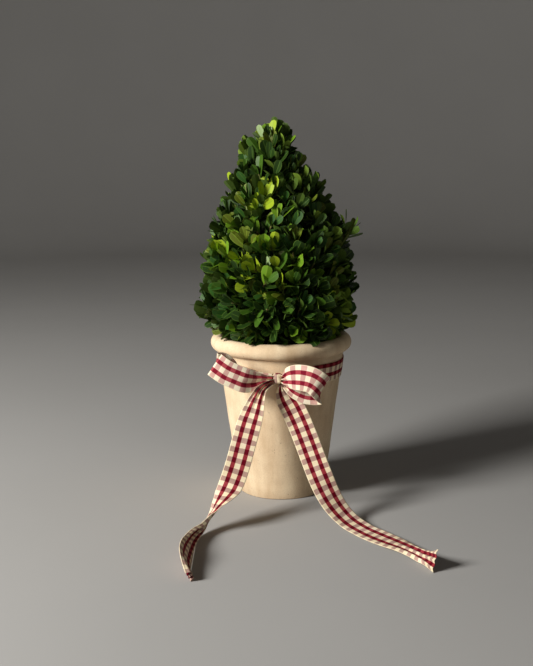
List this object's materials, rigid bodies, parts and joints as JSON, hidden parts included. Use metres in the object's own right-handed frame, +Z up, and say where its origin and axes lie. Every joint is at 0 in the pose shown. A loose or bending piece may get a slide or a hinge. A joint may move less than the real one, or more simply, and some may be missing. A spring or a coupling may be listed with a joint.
{
  "type": "potted boxwood cone topiary",
  "caption": "Clipped boxwood cone in a tapered clay pot with a rolled rim, with a gingham ribbon tied round the pot in a bow.",
  "frame": {"origin": "middle of the pot's flat underside, which the topiary stands on", "axes": "+Z up through the pot and the cone's tip; -Y towards the bow, and +X to the right of someone who faces the bow"},
  "size_m": [0.2306, 0.3406, 0.3939],
  "materials": {
    "clay": "matte",
    "soil": "matte",
    "bark": "matte",
    "leaves": "satin",
    "ribbon": "matte"
  },
  "bodies": {
    "root": {"pot": "clay", "soil": "soil", "trunk": "bark", "foliage_lower_1": "leaves", "foliage_lower_2": "leaves", "foliage_lower_3": "leaves", "foliage_lower_4": "leaves", "foliage_middle_1": "leaves", "foliage_middle_2": "leaves", "foliage_middle_3": "leaves", "foliage_middle_4": "leaves", "foliage_upper_1": "leaves", "foliage_upper_2": "leaves", "foliage_upper_3": "leaves", "foliage_tip": "leaves", "ribbon_band": "ribbon", "ribbon_knot": "ribbon", "bow_loop_left": "ribbon", "bow_loop_right": "ribbon", "ribbon_tail_left": "ribbon", "ribbon_tail_right": "ribbon"}
  },
  "joints": []
}
